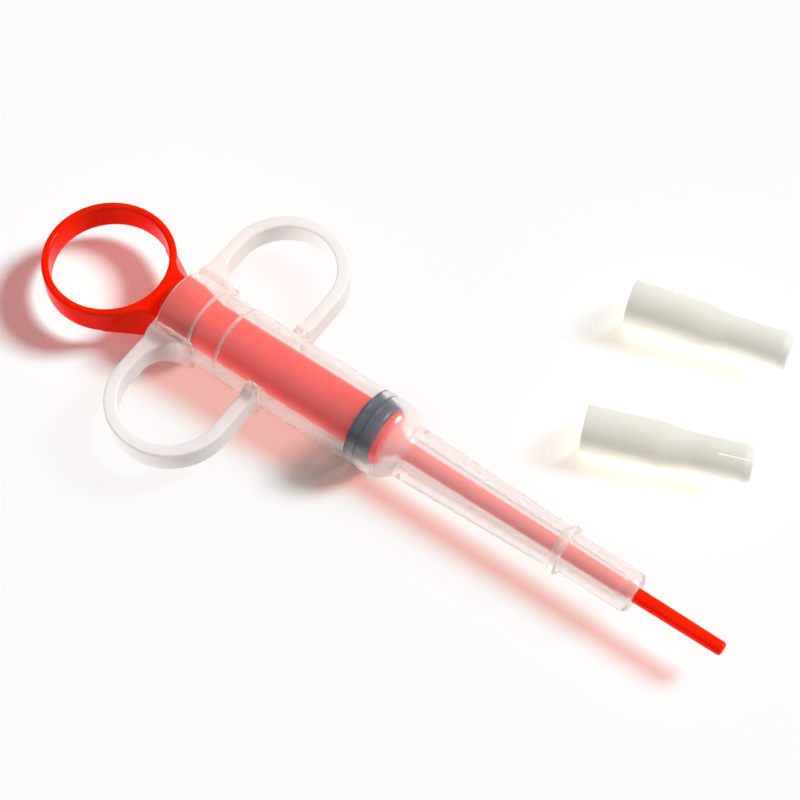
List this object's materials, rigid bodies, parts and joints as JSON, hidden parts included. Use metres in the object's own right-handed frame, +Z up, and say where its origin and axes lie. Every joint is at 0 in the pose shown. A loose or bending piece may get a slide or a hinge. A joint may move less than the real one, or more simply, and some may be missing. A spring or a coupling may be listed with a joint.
{
  "type": "oral syringe",
  "caption": "Oral syringe with finger loops on a clear barrel, a thumb-ring plunger with a push rod, and soft push-on tips for giving tablets or liquid.",
  "frame": {"origin": "on the syringe axis at the front face of the nozzle's collar, where a soft tip seats", "axes": "+X out of the nozzle along the syringe axis, +Y across the finger loops towards the loose tips, +Z up from the table that it lies on"},
  "size_m": [0.1802, 0.1125, 0.0183],
  "materials": {
    "barrel": "moulded translucent polypropylene, satin gloss",
    "plunger": "moulded orange-red polypropylene, gloss",
    "seal": "dark slate rubber, satin",
    "soft_tip": "milky silicone rubber, soft satin"
  },
  "bodies": {
    "barrel": {"barrel": "barrel"},
    "seal": {"seal": "seal"},
    "plunger": {"plunger": "plunger"},
    "soft_tip_1": {"soft_tip_1": "soft_tip"},
    "soft_tip_2": {"soft_tip_2": "soft_tip"}
  },
  "joints": [
    {"name": "seal_slide", "type": "slide", "parent": "barrel", "child": "seal", "axis": [-1, 0, 0], "range_m": [0, 0.035]},
    {"name": "plunger_turn", "type": "hinge", "parent": "seal", "child": "plunger", "pos_m": [0, 0, 0], "axis": [1, 0, 0], "continuous": true},
    {"name": "tip_1_slide", "type": "slide", "parent": "barrel", "child": "soft_tip_1", "axis": [0.9677, 0.2521, 0], "range_m": [0, 0.03]},
    {"name": "tip_2_slide", "type": "slide", "parent": "barrel", "child": "soft_tip_2", "axis": [0.9323, 0.3616, 0], "range_m": [0, 0.03]}
  ]
}
